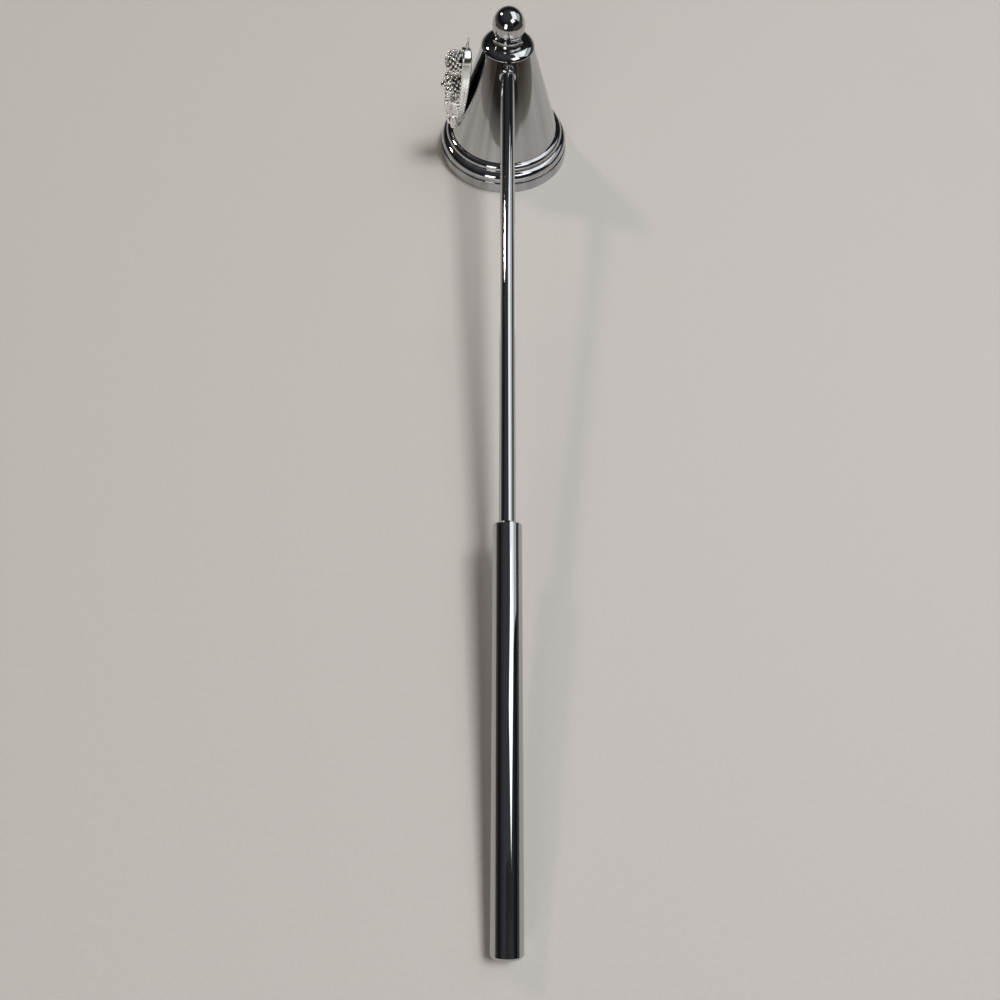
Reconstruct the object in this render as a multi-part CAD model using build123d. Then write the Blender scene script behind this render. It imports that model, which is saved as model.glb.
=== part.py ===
from build123d import *
import os
from math import asin, atan, atan2, cos, degrees, hypot, radians, sin, sqrt

os.makedirs("parts", exist_ok=True)

# A polished candle snuffer at rest on a table, in millimetres.
# The bell stands mouth down. Its axis is Z and the middle of its mouth is the origin.
# The rod leaves the bell towards -Y and slopes down until the handle's end touches the table.
# A cast ornament sits on the -X side of the bell.

# Bell
mouth_radius = 22.0
cone_foot_radius = 18.0
cone_foot_height = 8.6
cone_top_radius = 8.0
cone_top_height = 37.2
cone_wall = 1.0
cone_roof = 0.7
cone_hem_height = 1.2

# Rim ring, a turned moulding with two beads over a flared skirt
solder_gap = 0.05
skirt_height = 2.9
skirt_inset = 0.4
skirt_step = 0.5
lower_bead_height = 3.4
lower_bead_inset = 1.3
groove_step = 0.3
rim_land = 0.5
bead_bulge_share = 0.27

# Shoulder cap, a low dome with a short neck under the finial
cap_overhang = 0.25
cap_band = 0.2
cap_dome_height = 1.4
cap_dome_bulge_share = 0.16
neck_foot_radius = 4.8
neck_radius = 4.3
neck_height = 1.9
neck_cove_share = -0.12

# Ball finial with its stud, washer and nut
ball_radius = 5.0
ball_sink = 2.25
stud_radius = 1.5
stud_depth_in_ball = 4.5
stud_end_gap = 0.4
bore_clearance = 0.05
washer_radius = 3.0
washer_thickness = 0.6
nut_across_flats = 5.4
nut_thickness = 2.3
stud_tail = 0.7

# Rod, whose axis meets the bell's axis a short drop below the cone's top
rod_radius = 2.15
rod_drop = 2.0
rod_spigot_radius = 1.4
rod_head_radius = 1.8
rod_head_thickness = 0.7
collar_radius = 2.6
collar_rounding = 0.5
collar_length = 1.5
saddle_radius = 2.0
saddle_length = 1.5
rod_depth_in_handle = 18.0

# Handle, a tube closed by a bush and a plug
handle_radius = 3.7
handle_length = 95.5
handle_reach = 248.0
handle_wall = 0.9
handle_chamfer = 0.5
bush_length = 9.0
plug_length = 7.0
press_gap = 0.02

# Ornament plate, an egg shape that is thicker at its top. Its back and front lean less than the cone wall.
# It is turned from the -X side towards the handle and placed by its rise above the rim ring.
plate_turn = 10.0
plate_rise = 0.6
plate_stand_off = 0.95
plate_back_tilt = 10.0
plate_front_tilt = 13.3
plate_thickness = 2.8
plate_top = 11.0
plate_shoulder_height = 8.0
plate_shoulder_half_width = 3.3
plate_half_width = 4.6
plate_widest_height = -1.0
plate_foot_height = -15.6
plate_foot_half_width = 1.7
plate_tip = -17.0
plate_edge = 0.4
plate_seat_gap = 0.05

# Flower head, a ball of small grains
flower_height = 7.0
flower_rise = 1.5
flower_radius = 2.9
flower_grain_radius = 0.72
flower_grains = 54
flower_grain_spread = 104.0

# Berry cluster below the flower, with one larger bud under it
berry_height = -0.7
berry_mound_radius = 3.1
berry_mound_rise = 1.4
berry_radius = 1.25
berry_ring_count = 6
berry_ring_tilt = 55.0
bud_radius = 1.7
bud_height = -4.3
bud_rise = 1.9

# Leaf pair, each a lens outline drawn in to a ridge
leaf_length = 7.6
leaf_half_width = 2.1
leaf_ridge = 3.6
leaf_taper = 27.0
leaf_foot_height = -10.4
leaf_foot_offset = 1.2
leaf_spread = 19.0

# Stems, a bundle with a domed top that narrows to a band near the plate's tip
stem_radius = 0.6
stem_count = 8
stem_top_height = -10.6
stem_top_spread = 2.4
stem_foot_height = -14.0
stem_foot_spread = 1.9
stem_band_height = -13.2
stem_band_length = 0.9
stem_band_radius = 2.8

# Border grains along both sides of the berries
border_grain_radius = 0.5
border_grain_inset = 0.15
border_grain_pitch = 1.3
border_grain_count = 5
border_grain_start = -2.4

# Base bead at the plate's tip, and the beaded sprig on its top
base_bead_radius = 1.0
base_bead_gap = 0.05
base_bead_sink = 0.2
sprig_depth = 1.7
sprig_bead_radius = 0.5
sprig_bead_pitch = 0.8
sprig_bead_count = 4
sprig_wire_radius = 0.28

# One overrun for every through cut
overrun = 1.0

# The golden angle, in degrees, spreads the flower's grains evenly
golden_angle = 180.0 * (3.0 - sqrt(5.0))

# Heights and radii that follow from the bell's sizes
cone_slope = (cone_foot_radius - cone_top_radius) / (cone_top_height - cone_foot_height)
cone_wall_across = cone_wall * hypot(1.0, cone_slope)
roof_height = cone_top_height - cone_roof
cap_radius = cone_top_radius + cap_overhang
cap_dome_foot = cone_top_height + cap_band
neck_foot = cap_dome_foot + cap_dome_height
cap_height = neck_foot + neck_height
ball_height = cap_height - ball_sink + ball_radius

# The rod's slope brings the handle's lower edge down to the table
rod_height = cone_top_height - rod_drop
handle_bearing = handle_reach - handle_chamfer
handle_diagonal = hypot(handle_bearing, handle_radius)
rod_slope = asin(rod_height / handle_diagonal) - atan2(handle_radius, handle_bearing)
rod_plane = Plane(origin=(0, 0, rod_height), x_dir=(1, 0, 0), z_dir=(0, -cos(rod_slope), -sin(rod_slope)))
handle_start = handle_reach - handle_length


def cone_radius(height):
    """Outer radius of the cone wall at a height above the mouth."""
    return cone_foot_radius + cone_slope * (cone_foot_height - height)


# Distances along the rod, from the bell's axis, where it meets the cone wall
rod_crossing = cos(rod_slope) - cone_slope * sin(rod_slope)
wall_outside = cone_radius(rod_height) / rod_crossing
wall_inside = (cone_radius(rod_height) - cone_wall_across) / rod_crossing
rod_shoulder = wall_outside + collar_length
rod_head_seat = wall_inside - saddle_length

# The ornament's two frames, on its back and on its front: x towards the handle, y up the plate, z outwards
cone_lean = degrees(atan(cone_slope))
plate_back_lean = cone_lean - plate_back_tilt
plate_front_lean = cone_lean - plate_front_tilt
plate_height = cone_foot_height + plate_rise - plate_tip * cos(radians(plate_back_lean))
plate_back_distance = cone_radius(plate_height) + plate_stand_off
plate_away = Vector(-cos(radians(plate_turn)), -sin(radians(plate_turn)), 0)
plate_across = Vector(sin(radians(plate_turn)), -cos(radians(plate_turn)), 0)


def plate_frame(distance, lean):
    """A frame at a distance from the bell's axis that looks out and up by its lean."""
    outwards = plate_away * cos(radians(lean)) + Axis.Z.direction * sin(radians(lean))
    return Plane(plate_away * distance + Axis.Z.direction * plate_height, plate_across, outwards)


back_plane = plate_frame(plate_back_distance, plate_back_lean)
front_plane = plate_frame(plate_back_distance + plate_thickness, plate_front_lean)


def bowed(start, end, bulge_share):
    """An arc from start to end that swells to the right of its way by a share of the chord."""
    chord = Vector(*end) - Vector(*start)
    crest = Vector(*start) + chord * 0.5 + Vector(chord.Y, -chord.X) * bulge_share
    return ThreePointArc(start, (crest.X, crest.Y), end)


def turned(*edges):
    """A solid turned about Z from a closed outline of radius and height."""
    return revolve(Plane.XZ * make_face(edges), Axis.Z)


def turned_from(*points):
    """A solid turned about Z from straight runs of radius and height."""
    return turned(*Polyline(*points, close=True).edges())


def upright(radius, low, high):
    """A plain cylinder about Z between two heights."""
    return Pos(0, 0, low) * Cylinder(radius, high - low, align=(Align.CENTER, Align.CENTER, Align.MIN))


def cone_solid(growth):
    """The solid inside the cone's outer surface, grown outwards by a gap."""
    low = cone_radius(0) + growth
    high = cone_top_radius + growth
    return Pos(0, 0, cone_top_height / 2) * Cone(low, high, cone_top_height)


def cone_cavity():
    """The space inside the cone's wall and under its roof."""
    low = cone_radius(0) - cone_wall_across
    high = cone_radius(roof_height) - cone_wall_across
    return Pos(0, 0, roof_height / 2) * Cone(low, high, roof_height)


def bell_cone():
    hem = (cone_radius(cone_hem_height), cone_hem_height)
    hem_inside = (hem[0] - cone_wall_across, cone_hem_height)
    roof_inside = (cone_radius(roof_height) - cone_wall_across, roof_height)
    roof_outside = (cone_top_radius, cone_top_height)
    roof = [roof_outside, (0, cone_top_height), (0, roof_height), roof_inside]
    shell = turned_from(hem, *roof, hem_inside)
    stud_hole = upright(stud_radius + bore_clearance, roof_height - overrun, cone_top_height + overrun)
    spigot_hole = rod_plane * upright(rod_spigot_radius + bore_clearance, rod_head_seat, rod_shoulder)
    return shell - stud_hole - spigot_hole


def rim_ring():
    ledge_radius = cone_radius(cone_hem_height) - cone_wall_across
    skirt_top = (mouth_radius - skirt_inset, skirt_height)
    bead_foot = (skirt_top[0] - skirt_step, skirt_height)
    bead_top = (bead_foot[0] - lower_bead_inset, skirt_height + lower_bead_height)
    groove = (bead_top[0] - groove_step, bead_top[1])
    land = (cone_radius(cone_foot_height) + rim_land, cone_foot_height)
    bore_top = (cone_radius(cone_foot_height) + solder_gap, cone_foot_height)
    bore_foot = (cone_radius(cone_hem_height) + solder_gap, cone_hem_height)
    skirt = Polyline((ledge_radius, 0), (mouth_radius, 0), skirt_top, bead_foot)
    inside = Polyline(land, bore_top, bore_foot, (ledge_radius, cone_hem_height), (ledge_radius, 0))
    lower_bead = bowed(bead_foot, bead_top, bead_bulge_share)
    upper_bead = bowed(groove, land, bead_bulge_share)
    return turned(*skirt.edges(), lower_bead, Line(bead_top, groove), upper_bead, *inside.edges())


def shoulder_cap():
    bore = stud_radius + bore_clearance
    dome_foot = (cap_radius, cap_dome_foot)
    dome_top = (neck_foot_radius, neck_foot)
    neck_top = (neck_radius, cap_height)
    dome = bowed(dome_foot, dome_top, cap_dome_bulge_share)
    neck = bowed(dome_top, neck_top, neck_cove_share)
    rim = (cap_radius, cone_top_height)
    rest = Polyline(neck_top, (bore, cap_height), (bore, cone_top_height), rim, dome_foot)
    return turned(dome, neck, *rest.edges())


def finial_ball():
    """The ball, cut flat where it stands on the cap and bored for the stud."""
    below = upright(2 * ball_radius, cap_height - 2 * ball_radius, cap_height)
    bore = upright(stud_radius + bore_clearance, cap_height - overrun, cap_height + stud_depth_in_ball)
    return Pos(0, 0, ball_height) * Sphere(ball_radius) - below - bore


def finial_stud():
    tail = roof_height - washer_thickness - nut_thickness - stud_tail
    return upright(stud_radius, tail, cap_height + stud_depth_in_ball - stud_end_gap)


def finial_washer():
    low = roof_height - washer_thickness
    bore = upright(stud_radius + bore_clearance, low - overrun, roof_height + overrun)
    return upright(washer_radius, low, roof_height) - bore


def finial_nut():
    high = roof_height - washer_thickness
    low = high - nut_thickness
    hexagon = RegularPolygon(nut_across_flats / 2, 6, major_radius=False)
    bore = upright(stud_radius + bore_clearance, low - overrun, high + overrun)
    return Pos(0, 0, low) * extrude(hexagon, amount=nut_thickness) - bore


def rod():
    """The rod with its shoulder, its spigot and the head closed over inside the bell."""
    end = handle_start + rod_depth_in_handle
    head = upright(rod_head_radius, rod_head_seat - rod_head_thickness, rod_head_seat)
    spigot = upright(rod_spigot_radius, rod_head_seat, rod_shoulder)
    return rod_plane * (head + spigot + upright(rod_radius, rod_shoulder, end))


def rod_collar():
    """The saddle collar between the cone and the rod's shoulder, rounded towards the rod."""
    blank = upright(collar_radius, rod_head_seat, rod_shoulder)
    blank = fillet(blank.edges().sort_by(Axis.Z)[-1], collar_rounding)
    bore = upright(rod_spigot_radius + bore_clearance, rod_head_seat - overrun, rod_shoulder + overrun)
    return rod_plane * (blank - bore) - cone_solid(solder_gap)


def rod_saddle():
    """The saddle washer inside the bell, under the spigot's head."""
    blank = upright(saddle_radius, rod_head_seat, wall_outside)
    bore = upright(rod_spigot_radius + bore_clearance, rod_head_seat - overrun, wall_outside + overrun)
    return (rod_plane * (blank - bore)) & cone_cavity()


def handle_tube():
    inner = handle_radius - handle_wall
    shoulder = handle_radius - handle_chamfer
    return rod_plane * turned_from(
        (inner, handle_start),
        (shoulder, handle_start),
        (handle_radius, handle_start + handle_chamfer),
        (handle_radius, handle_reach - handle_chamfer),
        (shoulder, handle_reach),
        (inner, handle_reach),
    )


def handle_front_bush():
    radius = handle_radius - handle_wall - press_gap
    bore = upright(rod_radius + press_gap, handle_start - overrun, handle_start + bush_length + overrun)
    return rod_plane * (upright(radius, handle_start, handle_start + bush_length) - bore)


def handle_end_plug():
    radius = handle_radius - handle_wall - press_gap
    return rod_plane * upright(radius, handle_reach - plug_length, handle_reach)


def front_space():
    """The space in front of the plate, in the front frame."""
    reach = 4 * plate_top
    return Box(reach, reach, reach, align=(Align.CENTER, Align.CENTER, Align.MIN))


def on_plate(solid):
    """Keeps what stands proud of the plate's front and of the cone, and sets it in place."""
    return front_plane * (solid & front_space()) - cone_solid(plate_seat_gap)


def ornament_plate():
    """An egg-shaped plate, hollowed behind where the cone reaches it."""
    shoulders = [(side * plate_shoulder_half_width, plate_shoulder_height) for side in (1, -1)]
    feet = [(side * plate_foot_half_width, plate_foot_height) for side in (1, -1)]
    widest = [(side * plate_half_width, plate_widest_height) for side in (1, -1)]
    edges = [ThreePointArc(shoulders[0], (0, plate_top), shoulders[1])]
    edges += [ThreePointArc(feet[0], (0, plate_tip), feet[1])]
    edges += [ThreePointArc(*points) for points in zip(shoulders, widest, feet)]
    blank = back_plane * extrude(make_face(edges), amount=2 * plate_thickness)
    blank -= front_plane * front_space()
    front = blank.faces().sort_by(Axis(front_plane.origin, front_plane.z_dir))[-1]
    return chamfer(front.edges(), plate_edge) - cone_solid(plate_seat_gap)


def ornament_flower():
    """A ball set with grains, spaced by the golden angle over equal areas."""
    centre = Pos(0, flower_height, flower_rise)
    flower = centre * Sphere(flower_radius)
    for index in range(flower_grains):
        area_share = (index + 0.5) / flower_grains
        rise = 1 - area_share * (1 - cos(radians(flower_grain_spread)))
        turn = radians(index * golden_angle)
        out = sqrt(1 - rise * rise)
        seat = Pos(*(Vector(out * cos(turn), out * sin(turn), rise) * flower_radius))
        flower += centre * seat * Sphere(flower_grain_radius)
    return on_plate(flower)


def ornament_berries():
    """One berry on top of a mound, a ring of berries round it and a bud below."""
    centre = Pos(0, berry_height, berry_mound_rise)
    cluster = centre * Sphere(berry_mound_radius)
    cluster += centre * Pos(0, 0, berry_mound_radius) * Sphere(berry_radius)
    tilt = radians(berry_ring_tilt)
    for place in PolarLocations(berry_mound_radius * sin(tilt), berry_ring_count):
        cluster += centre * place * Pos(0, 0, berry_mound_radius * cos(tilt)) * Sphere(berry_radius)
    return on_plate(cluster + Pos(0, bud_height, bud_rise) * Sphere(bud_radius))


def stem_bundle(growth):
    """The half-round core of the stems and its dome, grown outwards."""
    foot = stem_foot_spread + growth
    top = stem_top_spread + growth
    length = stem_top_height - stem_foot_height
    core = Cone(foot, top, length, align=(Align.CENTER, Align.CENTER, Align.MIN))
    core = Plane((0, stem_foot_height, 0), z_dir=Axis.Y.direction) * core
    return core + Pos(0, stem_top_height, 0) * Sphere(top)


def ornament_leaf(side):
    """One leaf, which rises to a ridge along its middle and is cut away over the stems."""
    foot = (0, 0)
    point = (0, leaf_length)
    width_share = leaf_half_width / leaf_length
    outline = make_face([bowed(foot, point, width_share), bowed(point, foot, width_share)])
    leaf = extrude(outline, amount=leaf_ridge, taper=leaf_taper)
    place = Pos(side * leaf_foot_offset, leaf_foot_height, 0)
    leaf = place * Rot(0, 0, -side * leaf_spread) * leaf
    return front_plane * (leaf - stem_bundle(stem_radius + plate_seat_gap))


def straight_bar(start, end, radius):
    """A round bar from one point to another."""
    run = Vector(*end) - Vector(*start)
    bar = Cylinder(radius, run.length, align=(Align.CENTER, Align.CENTER, Align.MIN))
    return Plane(Vector(*start), z_dir=run) * bar


def ornament_stems():
    """A half-round bundle of stems with a band, which fans out towards the leaves."""
    stems = stem_bundle(growth=0)
    for index in range(stem_count):
        turn = radians(180 * (index + 0.5) / stem_count)
        foot = (stem_foot_spread * cos(turn), stem_foot_height, stem_foot_spread * sin(turn))
        top = (stem_top_spread * cos(turn), stem_top_height, stem_top_spread * sin(turn))
        stems += straight_bar(foot, top, stem_radius)
    band_low = (0, stem_band_height, 0)
    band_high = (0, stem_band_height + stem_band_length, 0)
    return on_plate(stems + straight_bar(band_low, band_high, stem_band_radius))


def ornament_border_grains():
    """A row of half-sunk grains along each side of the plate."""
    offset = plate_half_width - border_grain_inset - border_grain_radius
    grains = []
    for side in (1, -1):
        for index in range(border_grain_count):
            height = border_grain_start + index * border_grain_pitch
            grains += on_plate(Pos(side * offset, height, 0) * Sphere(border_grain_radius)).solids()
    return grains


def ornament_base_bead():
    height = stem_foot_height - base_bead_gap - stem_radius - base_bead_radius
    return on_plate(Pos(0, height, base_bead_sink) * Sphere(base_bead_radius))


def ornament_sprig():
    """A wire with beads that shrink upwards, standing on the plate's top edge."""
    reach = sprig_bead_count * sprig_bead_pitch
    wire = Cylinder(sprig_wire_radius, reach, align=(Align.CENTER, Align.CENTER, Align.MIN))
    sprig = Rot(-90, 0, 0) * wire
    for index in range(sprig_bead_count):
        shrink_share = 1 - index / (2 * sprig_bead_count)
        sprig += Pos(0, (index + 1) * sprig_bead_pitch, 0) * Sphere(sprig_bead_radius * shrink_share)
    return back_plane * Pos(0, plate_top, sprig_depth) * sprig


def save(name, *solids):
    """Writes one sub-part, one or more separate solids, to its own file."""
    shape = solids[0] if len(solids) == 1 else Compound(children=list(solids))
    export_step(shape, f"parts/{name}.step")


save("bell_cone", bell_cone())
save("rim_ring", rim_ring())
save("shoulder_cap", shoulder_cap())
save("finial_ball", finial_ball())
save("finial_stud", finial_stud())
save("finial_washer", finial_washer())
save("finial_nut", finial_nut())
save("rod", rod())
save("rod_collar", rod_collar())
save("rod_saddle", rod_saddle())
save("handle_tube", handle_tube())
save("handle_front_bush", handle_front_bush())
save("handle_end_plug", handle_end_plug())
save("ornament_plate", ornament_plate())
save("ornament_flower", ornament_flower())
save("ornament_berries", ornament_berries())
save("ornament_leaf_near", ornament_leaf(1))
save("ornament_leaf_far", ornament_leaf(-1))
save("ornament_stems", ornament_stems())
save("ornament_border_grains", *ornament_border_grains())
save("ornament_base_bead", ornament_base_bead())
save("ornament_sprig", ornament_sprig())
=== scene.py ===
from math import atan2, cos, hypot, pi, radians, sin, sqrt
from random import Random

import bmesh
import bpy
from mathutils import Matrix, Vector


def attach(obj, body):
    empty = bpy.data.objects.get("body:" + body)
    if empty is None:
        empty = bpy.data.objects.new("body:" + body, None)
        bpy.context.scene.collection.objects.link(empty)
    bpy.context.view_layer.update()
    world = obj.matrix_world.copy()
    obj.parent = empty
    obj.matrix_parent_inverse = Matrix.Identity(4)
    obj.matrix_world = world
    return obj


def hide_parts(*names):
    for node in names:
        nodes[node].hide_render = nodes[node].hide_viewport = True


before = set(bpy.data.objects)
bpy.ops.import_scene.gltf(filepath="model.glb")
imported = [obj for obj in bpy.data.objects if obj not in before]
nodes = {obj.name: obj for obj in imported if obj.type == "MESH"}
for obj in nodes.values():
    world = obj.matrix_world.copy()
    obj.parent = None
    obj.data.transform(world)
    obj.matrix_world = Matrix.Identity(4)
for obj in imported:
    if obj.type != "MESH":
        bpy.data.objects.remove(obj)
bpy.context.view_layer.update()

# The ornament is worked out in millimetres and turned into metres when its meshes are made.
# Camera, floor, cards, lamps and the depths of bumps are in metres.
MM = 0.001

# Camera, at the photograph's viewing angle: degrees, and millimetres for lens and sensor
CAMERA_PLACE = (-0.007789, -0.226049, 0.190705)
CAMERA_PITCH = 64.998
CAMERA_YAW = 4.193
CAMERA_ROLL = 4.571
CAMERA_LENS = 27.40
CAMERA_SENSOR = 36.0
CAMERA_NEAREST = 0.01
CAMERA_FARTHEST = 50.0

# Cone of the bell, as radius and height at its foot and its top
CONE_FOOT = (18.0, 8.6)
CONE_TOP = (8.0, 37.2)
CONE_SLOPE = (CONE_FOOT[0] - CONE_TOP[0]) / (CONE_TOP[1] - CONE_FOOT[1])
SEAT_GAP = 0.05

# Ornament plate, whose back and front planes cross the same height at their own distance and lean
PLATE_TURN = radians(10.0)
PLATE_HEIGHT = 25.978
PLATE_BACK = (12.873, radians(9.27))
PLATE_FRONT = (15.673, radians(5.97))
PLATE_MIDDLE = (0.0, -2.5)
PLATE_TOP = (0.0, 11.0)
PLATE_SHOULDER = (3.3, 8.0)
PLATE_WIDEST = (4.6, -1.0)
PLATE_FOOT = (1.7, -15.6)
PLATE_TIP = (0.0, -17.0)

# How the plate rounds over, as share of the outline and depth below the face, from its back to its front
BACK_ROUNDING = ((0.25, 0.0), (0.6, 0.0), (0.86, 0.02), (0.93, 0.09), (0.97, 0.22), (0.992, 0.42),
                 (1.0, 0.75))
FRONT_ROUNDING = ((1.0, 0.8), (0.994, 0.46), (0.976, 0.24), (0.945, 0.10), (0.90, 0.03), (0.80, 0.0),
                  (0.4, 0.0))
PLATE_HEAD_STEPS = 60
PLATE_SIDE_STEPS = 110
PLATE_TIP_STEPS = 30
PLATE_WALL_STEPS = 6
# The plate's back and this many rings next to it take the dark finish of painted shade
PAINTED_SHADE_BACK_RINGS = 4

# Beads on the plate's wall: their pitch along and across it, their depth, and where they fade out
WALL_BEAD_PITCH = 1.25
WALL_BEAD_HEIGHT = 1.3
WALL_BEAD_DEPTH = 0.34
WALL_BEADS_END = 4.0
WALL_BEADS_SHARE = 0.9
WALL_BEADS_FADE = 0.08

# Flower head
FLOWER_CENTRE = Vector((0, 7.0, 1.5))
FLOWER_RADIUS = 3.55
FLOWER_CORE = 2.4
FLORET_COUNT = 70
FLORET_RADII = (0.44, 0.56)
OPEN_FLORET_HEIGHT = 0.55
FLORET_RANDOM_SEED = 7

# Berry cluster with its seeds and the bud below it
CLUSTER_CENTRE = Vector((0, -0.7, 1.4))
CLUSTER_CORE = 2.5
SEED_COUNT = 62
SEED_DISTANCE = 3.0
SEED_RADIUS = 0.48
SEED_CHANGE = 0.07
BERRIES_ROUND = 6
BERRY_TILT = radians(55)
BERRY_DISTANCE = 3.1
BERRY_RADIUS = 1.24
BUD_CENTRE = Vector((0, -4.3, 1.9))
BUD_HEADING = Vector((0, -0.35, 1)).normalized()
BUD_RADIUS = 1.68

# Both clusters end this far round from straight out, and go this far into the plate
CLUSTER_REACH = radians(116)
SUNK_DEPTH = 0.4

# Leaves, whose length runs up the plate
LEAF_ROOT = (1.2, -10.4)
LEAF_TURN = radians(19)
LEAF_LENGTH = 7.55
LEAF_HALF_WIDTH = 2.08
LEAF_BELLY = 0.92
LEAF_RIDGE = 3.55
LEAF_RIDGE_RISE = 2.2
LEAF_RIDGE_CURVE = 0.8
LEAF_VEINS = 8
LEAF_VEIN_SWEEP = 1.8
LEAF_TOOTH = 0.13
LEAF_FURROW = 0.20
LEAF_FURROW_RISE = 3
LEAF_EDGE = 0.02
LEAF_SUNK = 0.15
LEAF_ROWS = 46
LEAF_COLUMNS = 23

# Points closer than this are one point, and edges shorter than this are taken out, in metres
SAME_POINT = 0.000001
NO_EDGE = 0.0000005


def make_camera():
    data = bpy.data.cameras.new("camera")
    data.lens = CAMERA_LENS
    data.sensor_width = CAMERA_SENSOR
    data.clip_start = CAMERA_NEAREST
    data.clip_end = CAMERA_FARTHEST
    camera = bpy.data.objects.new("camera", data)
    turn = Matrix.Rotation(-radians(CAMERA_YAW), 4, "Z")
    turn = turn @ Matrix.Rotation(radians(90.0 - CAMERA_PITCH), 4, "X")
    turn = turn @ Matrix.Rotation(radians(CAMERA_ROLL), 4, "Z")
    camera.matrix_world = Matrix.Translation(CAMERA_PLACE) @ turn
    bpy.context.scene.collection.objects.link(camera)
    bpy.context.scene.camera = camera


# Shader nodes

# Sockets of a Mix node that is set to colours
MIX_FIRST = 6
MIX_SECOND = 7
MIX_RESULT = 2


def link(tree, source, target):
    tree.links.new(source, target)


def feed(tree, socket, value):
    """Links a socket to another one, or sets its plain value."""
    if isinstance(value, bpy.types.NodeSocket):
        link(tree, value, socket)
    else:
        socket.default_value = value


def add_node(tree, kind, settings=None, **values):
    """A node with its settings and its plain input values."""
    node = tree.nodes.new(kind)
    for key, value in (settings or {}).items():
        setattr(node, key, value)
    for key, value in values.items():
        node.inputs[key].default_value = value
    return node


def maths(tree, operation, first, second=None, clamp=False):
    node = add_node(tree, "ShaderNodeMath", {"operation": operation, "use_clamp": clamp})
    feed(tree, node.inputs[0], first)
    if second is not None:
        feed(tree, node.inputs[1], second)
    return node.outputs[0]


def ramp(tree, source, low, high, to_low=0.0, to_high=1.0):
    """A clamped range from one pair of values to another."""
    node = add_node(tree, "ShaderNodeMapRange", {"clamp": True})
    for key, value in (("From Min", low), ("From Max", high), ("To Min", to_low), ("To Max", to_high)):
        node.inputs[key].default_value = value
    link(tree, source, node.inputs["Value"])
    return node.outputs["Result"]


def noise(tree, place, scale, detail, roughness=0.5, distortion=0.0):
    node = add_node(tree, "ShaderNodeTexNoise", Detail=detail, Roughness=roughness, Distortion=distortion)
    link(tree, place, node.inputs["Vector"])
    feed(tree, node.inputs["Scale"], scale)
    return node.outputs["Fac"]


def colour_mix(tree, factor, first, second):
    """Goes from the first colour to the second as the factor goes from 0 to 1."""
    node = add_node(tree, "ShaderNodeMix", {"data_type": "RGBA"})
    link(tree, factor, node.inputs["Factor"])
    for index, value in ((MIX_FIRST, first), (MIX_SECOND, second)):
        feed(tree, node.inputs[index], value if isinstance(value, bpy.types.NodeSocket) else (*value, 1.0))
    return node.outputs[MIX_RESULT]


def shade_of(colour, share):
    return tuple(share * part for part in colour)


def bump(tree, height, distance, after=None):
    node = add_node(tree, "ShaderNodeBump", Strength=1.0, Distance=distance)
    link(tree, height, node.inputs["Height"])
    if after is not None:
        link(tree, after, node.inputs["Normal"])
    return node.outputs["Normal"]


def own_place(tree):
    """The object's own coordinates, in metres."""
    return tree.nodes.new("ShaderNodeTexCoord").outputs["Object"]


def own_parts(tree):
    """The object's own coordinates, as X, Y and Z."""
    parts = tree.nodes.new("ShaderNodeSeparateXYZ")
    link(tree, own_place(tree), parts.inputs["Vector"])
    return parts.outputs


def joined(tree, **axes):
    """A vector from the sources of its axes."""
    node = tree.nodes.new("ShaderNodeCombineXYZ")
    for axis, source in axes.items():
        link(tree, source, node.inputs[axis])
    return node.outputs["Vector"]


# Node groups

def new_group(name, inputs, outputs):
    """A shader node group of float sockets. An input is a name, its value, its lowest and its highest."""
    group = bpy.data.node_groups.new(name, "ShaderNodeTree")
    for label, value, low, high in inputs:
        socket = group.interface.new_socket(label, in_out="INPUT", socket_type="NodeSocketFloat")
        socket.default_value = value
        socket.min_value = low
        socket.max_value = high
    for label in outputs:
        group.interface.new_socket(label, in_out="OUTPUT", socket_type="NodeSocketFloat")
    given = group.nodes.new("NodeGroupInput")
    out = group.nodes.new("NodeGroupOutput")
    return group, given.outputs, out.inputs


def make_wipe_marks():
    """Faint cloudy marks left by wiping."""
    inputs = [("Scale", 60.0, 1.0, 2000.0), ("Amount", 0.5, 0.0, 1.0)]
    group, given, out = new_group("wipe_marks", inputs, ["Mask"])
    cloud = noise(group, own_place(group), given["Scale"], detail=5.0, roughness=0.62, distortion=0.8)
    mask = ramp(group, cloud, low=0.46, high=0.72)
    link(group, maths(group, "MULTIPLY", mask, given["Amount"]), out["Mask"])
    return group


def put_out_lines(group, place, out):
    """Fine noise over a stretched place, as a height and as a mask of its higher part."""
    fine = noise(group, place, scale=1.0, detail=3.0, roughness=0.6)
    link(group, fine, out["Height"])
    link(group, ramp(group, fine, low=0.55, high=0.75), out["Mask"])


def make_polish_lines():
    """Hair-fine lines from the polishing wheel, round the Z axis. Across sets how fine they are."""
    inputs = [("Across", 2500.0, 10.0, 20000.0), ("Along", 40.0, 1.0, 20000.0)]
    group, given, out = new_group("polish_lines", inputs, ["Height", "Mask"])
    parts = own_parts(group)
    squares = [maths(group, "MULTIPLY", parts[axis], parts[axis]) for axis in ("X", "Y")]
    radius = maths(group, "SQRT", maths(group, "ADD", *squares))
    mean_radius = 0.01
    around = maths(group, "MULTIPLY", maths(group, "ARCTAN2", parts["Y"], parts["X"]), mean_radius)
    place = joined(group, X=maths(group, "MULTIPLY", radius, given["Across"]),
                   Y=maths(group, "MULTIPLY", around, given["Along"]),
                   Z=maths(group, "MULTIPLY", parts["Z"], given["Across"]))
    put_out_lines(group, place, out)
    return group


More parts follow.
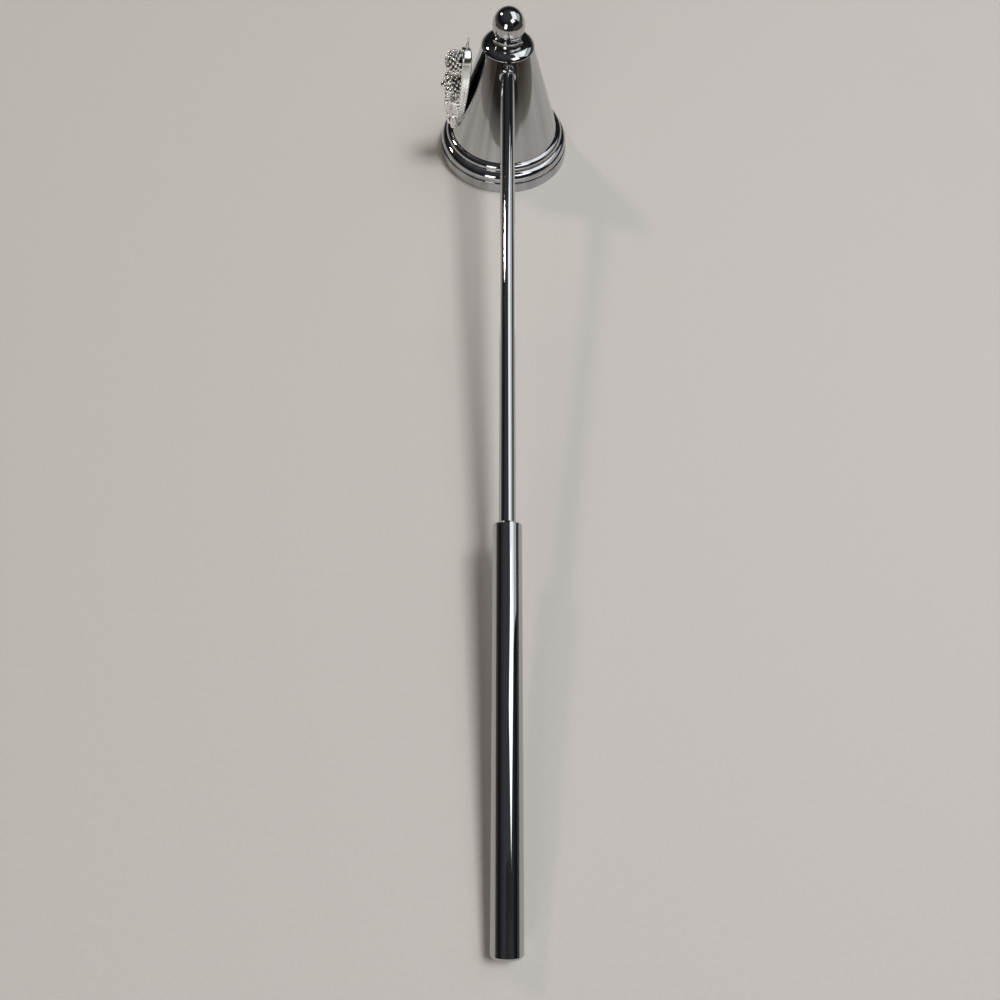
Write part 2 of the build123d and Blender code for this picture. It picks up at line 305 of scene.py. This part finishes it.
def make_draw_lines():
    """Lines along a drawn rod or tube, which lies near the Y direction."""
    inputs = [("Across", 3000.0, 10.0, 20000.0), ("Along", 30.0, 1.0, 20000.0)]
    group, given, out = new_group("draw_lines", inputs, ["Height", "Mask"])
    parts = own_parts(group)
    place = joined(group, X=maths(group, "MULTIPLY", parts["X"], given["Across"]),
                   Y=maths(group, "MULTIPLY", parts["Y"], given["Along"]),
                   Z=maths(group, "MULTIPLY", parts["Z"], given["Along"]))
    put_out_lines(group, place, out)
    return group


def make_painted_reflection_streaks():
    """Broad faint streaks that run up a turned wall, as a mask for painted reflection streaks that also
    raise the roughness.
    """
    inputs = [("Count", 9.0, 1.0, 200.0), ("Along", 14.0, 0.0, 500.0)]
    group, given, out = new_group("painted_reflection_streaks", inputs, ["Mask"])
    parts = own_parts(group)
    heading = add_node(group, "ShaderNodeVectorMath", {"operation": "NORMALIZE"})
    link(group, joined(group, X=parts["X"], Y=parts["Y"]), heading.inputs[0])
    spread = add_node(group, "ShaderNodeVectorMath", {"operation": "SCALE"})
    link(group, heading.outputs["Vector"], spread.inputs[0])
    link(group, given["Count"], spread.inputs["Scale"])
    place = add_node(group, "ShaderNodeVectorMath", {"operation": "ADD"})
    link(group, spread.outputs["Vector"], place.inputs[0])
    link(group, joined(group, Z=maths(group, "MULTIPLY", parts["Z"], given["Along"])), place.inputs[1])
    broad = noise(group, place.outputs["Vector"], scale=1.0, detail=2.0)
    link(group, ramp(group, broad, low=0.40, high=0.66), out["Mask"])
    return group


def make_dust_specks():
    """Single specks of dust. Share is the part of the cells that hold one."""
    inputs = [("Scale", 900.0, 10.0, 20000.0), ("Share", 0.06, 0.0, 1.0), ("Size", 0.16, 0.0, 1.0)]
    group, given, out = new_group("dust_specks", inputs, ["Mask", "Height"])
    smallest = 0.4
    cells = add_node(group, "ShaderNodeTexVoronoi", {"feature": "F1"}, Randomness=1.0)
    link(group, own_place(group), cells.inputs["Vector"])
    link(group, given["Scale"], cells.inputs["Scale"])
    draw = group.nodes.new("ShaderNodeSeparateColor")
    link(group, cells.outputs["Color"], draw.inputs["Color"])
    chosen = maths(group, "LESS_THAN", draw.outputs["Red"], given["Share"])
    size = maths(group, "MULTIPLY", given["Size"], maths(group, "ADD", draw.outputs["Green"], smallest))
    near = maths(group, "LESS_THAN", cells.outputs["Distance"], size)
    mask = maths(group, "MULTIPLY", chosen, near)
    link(group, mask, out["Mask"])
    link(group, mask, out["Height"])
    return group


def make_cast_grain():
    """The pitted skin of a casting, and the dark in its hollows: tarnish together with painted shade where
    shadow would fall.
    """
    inputs = [("Scale", 2600.0, 10.0, 20000.0), ("Tarnish", 0.8, 0.0, 1.0)]
    group, given, out = new_group("cast_grain", inputs, ["Height", "HollowShadeAndTarnish"])
    place = own_place(group)
    link(group, noise(group, place, given["Scale"], detail=4.0, roughness=0.68), out["Height"])
    # Painted shade with tarnish: concave places, found by pointiness, darken as if in shadow.
    shape = group.nodes.new("ShaderNodeNewGeometry")
    sunk = ramp(group, shape.outputs["Pointiness"], low=0.40, high=0.50, to_low=1.0, to_high=0.0)
    blotch = noise(group, place, scale=900.0, detail=2.0)
    uneven = ramp(group, blotch, low=0.30, high=0.55, to_low=0.35, to_high=1.0)
    shaded_hollow = maths(group, "MULTIPLY", sunk, uneven)
    link(group, maths(group, "MULTIPLY", shaded_hollow, given["Tarnish"], clamp=True), out["HollowShadeAndTarnish"])
    return group


GROUPS = {
    "wipe_marks": make_wipe_marks(),
    "polish_lines": make_polish_lines(),
    "draw_lines": make_draw_lines(),
    "painted_reflection_streaks": make_painted_reflection_streaks(),
    "dust_specks": make_dust_specks(),
    "cast_grain": make_cast_grain(),
}


def group_node(tree, name, **values):
    """A node group with its own values in this material."""
    node = add_node(tree, "ShaderNodeGroup", {"node_tree": GROUPS[name]}, **values)
    return node.outputs


# Materials

def new_material(name, metallic, roughness, colour):
    material = bpy.data.materials.new(name)
    material.use_nodes = True
    shader = material.node_tree.nodes["Principled BSDF"]
    shader.inputs["Base Color"].default_value = (*colour, 1.0)
    shader.inputs["Metallic"].default_value = metallic
    shader.inputs["Roughness"].default_value = roughness
    return material, material.node_tree, shader.inputs


def bright_plate(name, lines, across, along, streaks):
    """Mirror-polished plate with hair lines, wipe marks, single specks of dust, and broad streaks of
    painted reflection that darken its colour.
    """
    tint = (0.56, 0.565, 0.575)
    dust_colour = (0.80, 0.79, 0.76)
    streak_haze, line_haze, dust_haze = 0.05, 0.02, 0.5
    line_depth, dust_height = 0.0000004, 0.00002
    material, tree, surface = new_material(name, metallic=1.0, roughness=0.04, colour=tint)
    wipe = group_node(tree, "wipe_marks", Scale=70.0, Amount=1.0)
    reflection_streak = group_node(tree, "painted_reflection_streaks", Count=streaks, Along=14.0)
    fine = group_node(tree, lines, Across=across, Along=along)
    dust = group_node(tree, "dust_specks", Scale=520.0, Share=0.04, Size=0.08)
    haze = ramp(tree, wipe["Mask"], low=0.0, high=1.0, to_low=0.02, to_high=0.05)
    haze = maths(tree, "ADD", haze, maths(tree, "MULTIPLY", reflection_streak["Mask"], streak_haze))
    haze = maths(tree, "ADD", haze, maths(tree, "MULTIPLY", fine["Mask"], line_haze))
    haze = maths(tree, "ADD", haze, maths(tree, "MULTIPLY", dust["Mask"], dust_haze), clamp=True)
    link(tree, haze, surface["Roughness"])
    # Painted reflection: the streaks darken the tint as the room's reflections would.
    reflection_streaked = colour_mix(tree, reflection_streak["Mask"], tint, shade_of(tint, 0.80))
    clouded = colour_mix(tree, wipe["Mask"], reflection_streaked, shade_of(tint, 0.92))
    link(tree, colour_mix(tree, dust["Mask"], clouded, dust_colour), surface["Base Color"])
    link(tree, maths(tree, "SUBTRACT", 1.0, dust["Mask"]), surface["Metallic"])
    lined = bump(tree, fine["Height"], line_depth)
    link(tree, bump(tree, dust["Height"], dust_height, after=lined), surface["Normal"])
    return material


def cast_silver(name, tint, dark, grain, shade_and_tarnish, roughness):
    """Cast and buffed relief, dull in its hollows and darkened there by tarnish and painted shade."""
    hollow_roughness, wipe_haze, grain_depth = 0.5, 0.08, 0.00003
    material, tree, surface = new_material(name, metallic=1.0, roughness=roughness, colour=tint)
    skin = group_node(tree, "cast_grain", Scale=grain, Tarnish=shade_and_tarnish)
    wipe = group_node(tree, "wipe_marks", Scale=300.0, Amount=0.8)
    # Painted shade and tarnish: the hollows take the dark colour.
    link(tree, colour_mix(tree, skin["HollowShadeAndTarnish"], tint, dark), surface["Base Color"])
    haze = ramp(tree, skin["HollowShadeAndTarnish"], low=0.0, high=1.0, to_low=roughness, to_high=hollow_roughness)
    haze = maths(tree, "ADD", haze, maths(tree, "MULTIPLY", wipe["Mask"], wipe_haze))
    link(tree, haze, surface["Roughness"])
    link(tree, bump(tree, skin["Height"], grain_depth), surface["Normal"])
    return material


def satin_steel(name):
    """Plain steel of the fixings inside the bell, with turning lines."""
    tint, wiped_tint, line_depth = (0.52, 0.52, 0.53), (0.40, 0.38, 0.36), 0.000004
    material, tree, surface = new_material(name, metallic=1.0, roughness=0.3, colour=tint)
    fine = group_node(tree, "polish_lines", Across=6000.0, Along=80.0)
    wipe = group_node(tree, "wipe_marks", Scale=500.0, Amount=1.0)
    haze = ramp(tree, fine["Height"], low=0.3, high=0.7, to_low=0.24, to_high=0.42)
    link(tree, haze, surface["Roughness"])
    link(tree, colour_mix(tree, wipe["Mask"], tint, wiped_tint), surface["Base Color"])
    link(tree, bump(tree, fine["Height"], line_depth), surface["Normal"])
    return material


def floor_paper(name):
    """Plain pale studio paper with a barely seen tooth."""
    tint, tooth_depth = (0.50, 0.48, 0.46), 0.00004
    material, tree, surface = new_material(name, metallic=0.0, roughness=0.75, colour=tint)
    tooth = noise(tree, own_place(tree), scale=900.0, detail=3.0, roughness=0.6)
    shade = ramp(tree, tooth, low=0.3, high=0.7)
    link(tree, colour_mix(tree, shade, shade_of(tint, 0.96), tint), surface["Base Color"])
    link(tree, bump(tree, tooth, tooth_depth), surface["Normal"])
    return material


def card_paper(name, colour, foot):
    """Matt card, in one colour at its foot and clouded in another above it."""
    foot_height = 0.028
    material, tree, surface = new_material(name, metallic=0.0, roughness=0.9, colour=colour)
    cloud = noise(tree, own_place(tree), scale=9.0, detail=2.0)
    clouded = colour_mix(tree, cloud, shade_of(colour, 0.6), colour)
    climb = ramp(tree, own_parts(tree)["Z"], low=0.0, high=foot_height)
    link(tree, colour_mix(tree, climb, foot, clouded), surface["Base Color"])
    return material


# Frames of the ornament

AWAY = Vector((-cos(PLATE_TURN), -sin(PLATE_TURN), 0))
ACROSS = Vector((sin(PLATE_TURN), -cos(PLATE_TURN), 0))
UP = Vector((0, 0, 1))


def plate_frame(distance, lean):
    """The matrix of one of the plate's planes: x across, y up the plate, z outwards."""
    out = AWAY * cos(lean) + UP * sin(lean)
    rise = out.cross(ACROSS)
    start = AWAY * distance + UP * PLATE_HEIGHT
    return Matrix([(ACROSS[row], rise[row], out[row], start[row]) for row in range(3)] + [(0, 0, 0, 1)])


BACK = plate_frame(*PLATE_BACK)
FRONT = plate_frame(*PLATE_FRONT)
FRONT_TURN = FRONT.to_3x3()


def clamped(value):
    return min(1.0, max(0.0, value))


def clear_of_cone(point):
    """Moves a point that would lie in the cone's wall out to its seat."""
    radius = hypot(point.x, point.y)
    seat = CONE_FOOT[0] + CONE_SLOPE * (CONE_FOOT[1] - point.z) + SEAT_GAP
    if radius >= seat:
        return point
    return Vector((point.x * seat / radius, point.y * seat / radius, point.z))


def flatten_in_plate(points):
    """Flattens what would reach too far into the plate."""
    to_front = FRONT.inverted()
    for index, point in enumerate(points):
        local = to_front @ point
        if local.z < -SUNK_DEPTH:
            points[index] = FRONT @ Vector((local.x, local.y, -SUNK_DEPTH))


# Mesh pieces

def add_sheet(points, faces, top, bottom):
    """Adds a closed sheet from two grids of points that face each other."""
    rows, columns = len(top), len(top[0])
    first = len(points)
    for grid in (top, bottom):
        for row in grid:
            points.extend(row)
    layer = rows * columns

    def index(side, row, column):
        return first + side * layer + row * columns + column

    for row in range(rows - 1):
        for column in range(columns - 1):
            for side in (0, 1):
                faces.append((index(side, row, column), index(side, row, column + 1),
                              index(side, row + 1, column + 1), index(side, row + 1, column)))
    border = [(0, column) for column in range(columns)]
    border += [(row, columns - 1) for row in range(1, rows)]
    border += [(rows - 1, column) for column in range(columns - 2, -1, -1)]
    border += [(row, 0) for row in range(rows - 2, 0, -1)]
    for here, following in zip(border, border[1:] + border[:1]):
        faces.append((index(0, *here), index(0, *following), index(1, *following), index(1, *here)))


def add_ball(points, faces, centre, axis, radius, relief, rings, steps):
    """Adds a ball in the front frame, whose radius follows relief(polar angle, turn)."""
    middle = FRONT @ centre
    axis = FRONT_TURN @ axis
    side = axis.orthogonal().normalized()
    other = axis.cross(side)
    first = len(points)
    for ring in range(1, rings):
        polar = pi * ring / rings
        for step in range(steps):
            turn = 2 * pi * step / steps
            out = axis * cos(polar) + (side * cos(turn) + other * sin(turn)) * sin(polar)
            points.append(middle + out * radius * relief(polar, turn))
    for polar, sign in ((0.0, 1), (pi, -1)):
        points.append(middle + axis * sign * radius * relief(polar, 0.0))
    top, bottom = len(points) - 2, len(points) - 1
    last = first + (rings - 2) * steps
    for step in range(steps):
        following = (step + 1) % steps
        faces.append((top, first + step, first + following))
        faces.append((bottom, last + following, last + step))
        for ring in range(rings - 2):
            low = first + ring * steps
            faces.append((low + step, low + steps + step, low + steps + following, low + following))


def make_piece(name, node, points, faces, finishes, second_faces=()):
    """A mesh piece that stands for one CAD node. The second faces take the second finish."""
    mesh = bpy.data.meshes.new(name)
    mesh.from_pydata([MM * clear_of_cone(point) for point in points], [], faces)
    for finish in finishes:
        mesh.materials.append(finish)
    for index in second_faces:
        mesh.polygons[index].material_index = 1
    skin = bmesh.new()
    skin.from_mesh(mesh)
    bmesh.ops.remove_doubles(skin, verts=skin.verts, dist=SAME_POINT)
    bmesh.ops.dissolve_degenerate(skin, edges=skin.edges, dist=NO_EDGE)
    bmesh.ops.recalc_face_normals(skin, faces=skin.faces)
    skin.to_mesh(mesh)
    skin.free()
    mesh.polygons.foreach_set("use_smooth", [True] * len(mesh.polygons))
    piece = bpy.data.objects.new(name, mesh)
    bpy.context.scene.collection.objects.link(piece)
    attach(piece, "root")
    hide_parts(node)


def arc_points(start, middle, end, count):
    """Points along the arc through three points, without its end."""
    (ax, ay), (bx, by), (cx, cy) = start, middle, end
    double = 2 * (ax * (by - cy) + bx * (cy - ay) + cx * (ay - by))
    squares = [x * x + y * y for x, y in (start, middle, end)]
    x0 = (squares[0] * (by - cy) + squares[1] * (cy - ay) + squares[2] * (ay - by)) / double
    y0 = (squares[0] * (cx - bx) + squares[1] * (ax - cx) + squares[2] * (bx - ax)) / double
    radius = hypot(ax - x0, ay - y0)
    first, last = atan2(ay - y0, ax - x0), atan2(cy - y0, cx - x0)
    if last < first:
        last += 2 * pi
    turns = [first + (last - first) * step / count for step in range(count)]
    return [(x0 + radius * cos(turn), y0 + radius * sin(turn)) for turn in turns]


def plate_outline():
    """The plate's egg shape, over its top and down to its tip."""

    def mirrored(point):
        return (-point[0], point[1])

    outline = arc_points(PLATE_SHOULDER, PLATE_TOP, mirrored(PLATE_SHOULDER), PLATE_HEAD_STEPS)
    outline += arc_points(mirrored(PLATE_SHOULDER), mirrored(PLATE_WIDEST), mirrored(PLATE_FOOT),
                          PLATE_SIDE_STEPS)
    outline += arc_points(mirrored(PLATE_FOOT), PLATE_TIP, PLATE_FOOT, PLATE_TIP_STEPS)
    outline += arc_points(PLATE_FOOT, PLATE_WIDEST, PLATE_SHOULDER, PLATE_SIDE_STEPS)
    return outline


def plate_piece(front_finish, back_finish):
    """The egg-shaped plate, rounded over at its edges, with a beaded wall below its smooth head, and a dark
    finish of painted shade on its back.
    """
    outline = plate_outline()
    back_out = BACK.to_3x3() @ UP
    front_out = FRONT_TURN @ UP
    x0, y0 = PLATE_MIDDLE
    back_edge = BACK_ROUNDING[-1][1]
    front_edge = FRONT_ROUNDING[0][1]
    lengths = [0.0]
    for (x, y), (next_x, next_y) in zip(outline, outline[1:]):
        lengths.append(lengths[-1] + hypot(next_x - x, next_y - y))

    def place(x, y, along, share, depth, climb):
        """A point of a ring. Climb is 0 on the back, 1 on the front, and between them on the wall."""
        base = BACK @ Vector((x0 + share * (x - x0), y0 + share * (y - y0), 0))
        thickness = (FRONT.to_translation() - base).dot(front_out) / back_out.dot(front_out)
        if climb == 0:
            height = depth
        elif climb == 1:
            height = thickness - depth
        else:
            height = back_edge + climb * (thickness - back_edge - front_edge)
        grown = clamped((WALL_BEADS_END - y) / WALL_BEADS_END)
        grown *= clamped((share - WALL_BEADS_SHARE) / WALL_BEADS_FADE)
        bead = cos(2 * pi * along / WALL_BEAD_PITCH) * cos(2 * pi * height / WALL_BEAD_HEIGHT)
        inset = WALL_BEAD_DEPTH * grown * (0.5 - 0.5 * bead)
        reach = hypot(x - x0, y - y0)
        inwards = BACK.to_3x3() @ Vector(((x0 - x) / reach, (y0 - y) / reach, 0))
        return base + back_out * height + inwards * inset

    rings = [(share, depth, 0) for share, depth in BACK_ROUNDING]
    rings += [(1.0, 0.0, step / PLATE_WALL_STEPS) for step in range(1, PLATE_WALL_STEPS)]
    rings += [(share, depth, 1) for share, depth in FRONT_ROUNDING]
    points, faces, back_faces = [], [], []
    for ring in rings:
        points += [place(x, y, along, *ring) for (x, y), along in zip(outline, lengths)]
    around = len(outline)
    for ring in range(len(rings) - 1):
        low, high = ring * around, (ring + 1) * around
        for step in range(around):
            following = (step + 1) % around
            # Painted shade: the back and its first rings take the dark second finish.
            if ring < PAINTED_SHADE_BACK_RINGS:
                back_faces.append(len(faces))
            faces.append((low + step, low + following, high + following, high + step))
    back_faces.append(len(faces))
    faces.append(tuple(range(around)))
    faces.append(tuple(range((len(rings) - 1) * around, len(rings) * around)))
    finishes = (front_finish, back_finish)
    make_piece("ornament_plate_pillow", "ornament_plate", points, faces, finishes, back_faces)


def golden_headings(count, reach):
    """Directions spread evenly from straight out to the reach angle."""
    golden_angle = pi * (3 - sqrt(5))
    for number in range(count):
        height = 1 - (number + 0.5) / count * (1 - cos(reach))
        out = sqrt(1 - height * height)
        turn = number * golden_angle
        yield Vector((out * cos(turn), out * sin(turn), height))


def round_ball(polar, turn):
    return 1.0


def floret(polar, turn):
    """A small open blossom with five lobes and a sunk eye."""
    body, lobe_height, eye_depth, eye_width = 0.92, 0.14, 0.34, 0.55
    lobes = lobe_height * cos(5 * turn) * sin(polar)
    eye = eye_depth * max(0.0, 1 - (polar / eye_width) ** 2)
    return body + lobes - eye


def berry(polar, turn):
    """A berry with a dimpled crown at its tip."""
    crown_height, crown_width, dimple_depth, dimple_width = 0.10, 0.7, 0.16, 0.42
    crown = crown_height * cos(5 * turn) * sin(polar) * max(0.0, 1 - polar / crown_width)
    dimple = dimple_depth * max(0.0, 1 - (polar / dimple_width) ** 2)
    return 1.0 - dimple + crown


def bud(polar, turn):
    """A closed bud with five furrows that wind round it."""
    furrow_depth, furrow_sharpness = 0.14, 6
    return 1.0 - furrow_depth * abs(cos(2.5 * turn + polar)) ** furrow_sharpness * sin(polar)


def flower_piece(bright, shaded_hollow):
    """A full flower head: open florets on its face, round buds down its sides, and painted shade on the
    core between them.
    """
    random = Random(FLORET_RANDOM_SEED)
    points, faces = [], []
    add_ball(points, faces, FLOWER_CENTRE, UP, FLOWER_CORE, round_ball, rings=20, steps=36)
    core_faces = range(len(faces))
    for heading in golden_headings(FLORET_COUNT, CLUSTER_REACH):
        radius = random.uniform(*FLORET_RADII)
        centre = FLOWER_CENTRE + heading * (FLOWER_RADIUS - radius)
        form = floret if heading.z > OPEN_FLORET_HEIGHT else round_ball
        add_ball(points, faces, centre, heading, radius, form, rings=9, steps=20)
    flatten_in_plate(points)
    make_piece("ornament_flower_head", "ornament_flower", points, faces, (bright, shaded_hollow), core_faces)


def berries_piece(bright, shaded_hollow):
    """One berry on top and six round it, small seeds between them, a furrowed bud below, and painted shade
    on the core between them.
    """
    points, faces = [], []
    add_ball(points, faces, CLUSTER_CENTRE, UP, CLUSTER_CORE, round_ball, rings=20, steps=36)
    core_faces = range(len(faces))
    for number, heading in enumerate(golden_headings(SEED_COUNT, CLUSTER_REACH)):
        radius = SEED_RADIUS + SEED_CHANGE * cos(3 * number)
        centre = CLUSTER_CENTRE + heading * SEED_DISTANCE
        add_ball(points, faces, centre, heading, radius, round_ball, rings=7, steps=10)
    headings = [UP]
    for index in range(BERRIES_ROUND):
        turn = 2 * pi * index / BERRIES_ROUND
        headings.append(Vector((sin(BERRY_TILT) * cos(turn), sin(BERRY_TILT) * sin(turn), cos(BERRY_TILT))))
    for heading in headings:
        centre = CLUSTER_CENTRE + heading * BERRY_DISTANCE
        add_ball(points, faces, centre, heading, BERRY_RADIUS, berry, rings=18, steps=30)
    add_ball(points, faces, BUD_CENTRE, BUD_HEADING, BUD_RADIUS, bud, rings=22, steps=50)
    flatten_in_plate(points)
    make_piece("ornament_berry_cluster", "ornament_berries", points, faces, (bright, shaded_hollow), core_faces)


def leaf_piece(name, node, side, finish):
    """A cast leaf with a sharp midrib, furrowed veins and a toothed edge."""
    seat = Matrix.Translation((side * LEAF_ROOT[0], LEAF_ROOT[1], 0))
    seat = FRONT @ seat @ Matrix.Rotation(-side * LEAF_TURN, 4, "Z")
    top, bottom = [], []
    for row in range(LEAF_ROWS):
        along = row / (LEAF_ROWS - 1)
        bow = sin(pi * along ** LEAF_BELLY)
        half = LEAF_HALF_WIDTH * bow * (1 - LEAF_TOOTH * abs(sin(pi * LEAF_VEINS * along)))
        ridge = LEAF_RIDGE * min(1.0, LEAF_RIDGE_RISE * bow)
        top_row, bottom_row = [], []
        for column in range(LEAF_COLUMNS):
            across = 2 * column / (LEAF_COLUMNS - 1) - 1
            furrow = 0.5 + 0.5 * cos(2 * pi * (LEAF_VEINS * along - LEAF_VEIN_SWEEP * abs(across)))
            carved = 1 - LEAF_FURROW * furrow * min(1.0, LEAF_FURROW_RISE * abs(across))
            height = max(LEAF_EDGE, ridge * (1 - abs(across)) ** LEAF_RIDGE_CURVE * carved)
            top_row.append(seat @ Vector((half * across, LEAF_LENGTH * along, height)))
            bottom_row.append(seat @ Vector((half * across, LEAF_LENGTH * along, -LEAF_SUNK)))
        top.append(top_row)
        bottom.append(bottom_row)
    points, faces = [], []
    add_sheet(points, faces, top, bottom)
    make_piece(name, node, points, faces, (finish,))


# Floor, cards, room and lamps

FLOOR_HALF = 4.0
CARD_FOOT = 0.003
WHITE_CARD_HEIGHT = 0.0004
CARD_FOOT_SHADE = (0.46, 0.44, 0.42)
CARD_WHITE = (0.92, 0.92, 0.92)
BELL_AIM = (0, -0.02, 0.02)
ROD_AIM = (0, -0.08, 0)


def flat_sheet(name, corners, material):
    mesh = bpy.data.meshes.new(name)
    mesh.from_pydata([Vector(corner) for corner in corners], [], [tuple(range(len(corners)))])
    mesh.materials.append(material)
    sheet = bpy.data.objects.new(name, mesh)
    bpy.context.scene.collection.objects.link(sheet)
    return sheet


def reflection_card(name, corners, colour, foot):
    """A card that only reflections see, in one colour at its foot and another above."""
    card = flat_sheet(name, corners, card_paper(name + "_paper", colour, foot))
    card.visible_camera = False
    card.visible_shadow = False
    card.visible_diffuse = False


def standing_card(name, first, second, heights, colour):
    """A reflection card that stands from its first place to its second, with a pale foot."""
    corners = [(*first, CARD_FOOT), (*second, CARD_FOOT), (*second, heights[1]), (*first, heights[0])]
    reflection_card(name, corners, colour, CARD_FOOT_SHADE)


def soft_box(name, place, aim, size, power, colour):
    """A soft rectangular lamp that the camera doesn't see."""
    data = bpy.data.lights.new(name, "AREA")
    data.shape = "RECTANGLE"
    data.size, data.size_y = size
    data.energy = power
    data.color = colour
    lamp = bpy.data.objects.new(name, data)
    lamp.location = place
    lamp.rotation_mode = "QUATERNION"
    lamp.rotation_quaternion = (Vector(aim) - Vector(place)).to_track_quat("-Z", "Y")
    lamp.visible_camera = False
    bpy.context.scene.collection.objects.link(lamp)
    return lamp


def make_room():
    """A dim room: warm grey at the horizon, dark above it, and a little paler overhead."""
    horizon, upper, overhead = (0.16, 0.148, 0.14), (0.012, 0.013, 0.015), (0.060, 0.064, 0.072)
    world = bpy.data.worlds.new("room")
    world.use_nodes = True
    tree = world.node_tree
    parts = tree.nodes.new("ShaderNodeSeparateXYZ")
    link(tree, tree.nodes.new("ShaderNodeTexCoord").outputs["Generated"], parts.inputs["Vector"])
    shade = colour_mix(tree, ramp(tree, parts.outputs["Z"], low=0.02, high=0.36), horizon, upper)
    shade = colour_mix(tree, ramp(tree, parts.outputs["Z"], low=0.55, high=0.92), shade, overhead)
    link(tree, shade, tree.nodes["Background"].inputs["Color"])
    bpy.context.scene.world = world


def make_stage():
    """The floor, four dark cards that stand round the object, and a white one that lies before the bell."""
    ends = ((-1, -1), (1, -1), (1, 1), (-1, 1))
    flat_sheet("floor", [(FLOOR_HALF * x, FLOOR_HALF * y, 0) for x, y in ends], floor_paper("floor_paper"))
    standing_card("tall_dark_card", (-0.07, -0.36), (0.25, -0.36), (0.5, 0.5), (0.03, 0.03, 0.035))
    standing_card("low_dark_card", (-0.55, -0.34), (-0.07, -0.36), (0.07, 0.07), (0.04, 0.035, 0.035))
    standing_card("right_dark_card", (0.25, -0.36), (0.17, 0.06), (0.09, 0.06), (0.17, 0.155, 0.135))
    standing_card("left_dark_card", (-0.19, 0.04), (-0.30, -0.35), (0.06, 0.08), (0.12, 0.085, 0.065))
    white_card = ((-0.035, -0.078), (0.03, -0.078), (0.026, -0.034), (-0.026, -0.034))
    reflection_card("near_white_card", [(x, y, WHITE_CARD_HEIGHT) for x, y in white_card], CARD_WHITE,
                    CARD_WHITE)


def make_lamps():
    """Soft lamps for the metal to reflect, and a fill that lights the floor and shows in no reflection."""
    soft_box("window", (0.50, 0.20, 0.95), BELL_AIM, (0.90, 0.55), 2.35, (0.95, 0.985, 1.0))
    soft_box("window_low", (0.85, 0.30, 0.62), BELL_AIM, (0.80, 0.35), 0.60, (0.95, 0.98, 1.0))
    soft_box("near_lamp", (0.20, -0.21, 0.42), BELL_AIM, (0.20, 0.17), 0.26, (0.97, 0.99, 1.0))
    soft_box("low_window", (-0.36, -0.88, 0.40), BELL_AIM, (0.28, 0.46), 1.6, (1.0, 0.95, 0.88))
    soft_box("warm_lamp", (-0.64, 0.50, 0.715), BELL_AIM, (0.10, 0.10), 1.9, (1.0, 0.86, 0.70))
    fill = soft_box("fill", (0.70, 0.05, 1.95), ROD_AIM, (0.6, 0.6), 30.0, (1.0, 0.985, 0.97))
    fill.visible_glossy = False


make_camera()
make_room()
make_stage()
make_lamps()

turned_plate = bright_plate("turned_plate", "polish_lines", across=2600.0, along=60.0, streaks=7.0)
drawn_plate = bright_plate("drawn_plate", "draw_lines", across=3200.0, along=14.0, streaks=1.0)
relief = cast_silver("relief_silver", tint=(0.95, 0.945, 0.93), dark=(0.040, 0.035, 0.032),
                     grain=2600.0, shade_and_tarnish=0.66, roughness=0.10)
pillow = cast_silver("pillow_silver", tint=(0.92, 0.92, 0.91), dark=(0.16, 0.15, 0.14),
                     grain=1300.0, shade_and_tarnish=0.4, roughness=0.20)
# Painted shade: near-black silver for the plate's back, which faces the cone.
painted_shade_back = cast_silver("painted_shade_back", tint=(0.10, 0.10, 0.105), dark=(0.03, 0.03, 0.03),
                             grain=900.0, shade_and_tarnish=0.9, roughness=0.30)
# Painted shade: near-black silver for the cores of the flower and berries, seen between florets and seeds.
painted_shade_core = cast_silver("painted_shade_core", tint=(0.07, 0.068, 0.066), dark=(0.03, 0.03, 0.03),
                          grain=1500.0, shade_and_tarnish=0.9, roughness=0.30)
steel = satin_steel("satin_steel")

FINISH = {
    "bell_cone": turned_plate,
    "rim_ring": turned_plate,
    "shoulder_cap": turned_plate,
    "finial_ball": turned_plate,
    "rod": drawn_plate,
    "rod_collar": drawn_plate,
    "handle_tube": drawn_plate,
    "handle_front_bush": drawn_plate,
    "handle_end_plug": drawn_plate,
    "finial_stud": steel,
    "finial_washer": steel,
    "finial_nut": steel,
    "rod_saddle": steel,
}
for name, node in nodes.items():
    node.data.materials.clear()
    node.data.materials.append(FINISH.get(name, relief))

plate_piece(pillow, painted_shade_back)
flower_piece(relief, painted_shade_core)
berries_piece(relief, painted_shade_core)
leaf_piece("ornament_leaf_carved_near", "ornament_leaf_near", 1, relief)
leaf_piece("ornament_leaf_carved_far", "ornament_leaf_far", -1, relief)

bpy.context.scene.view_settings.view_transform = "Standard"
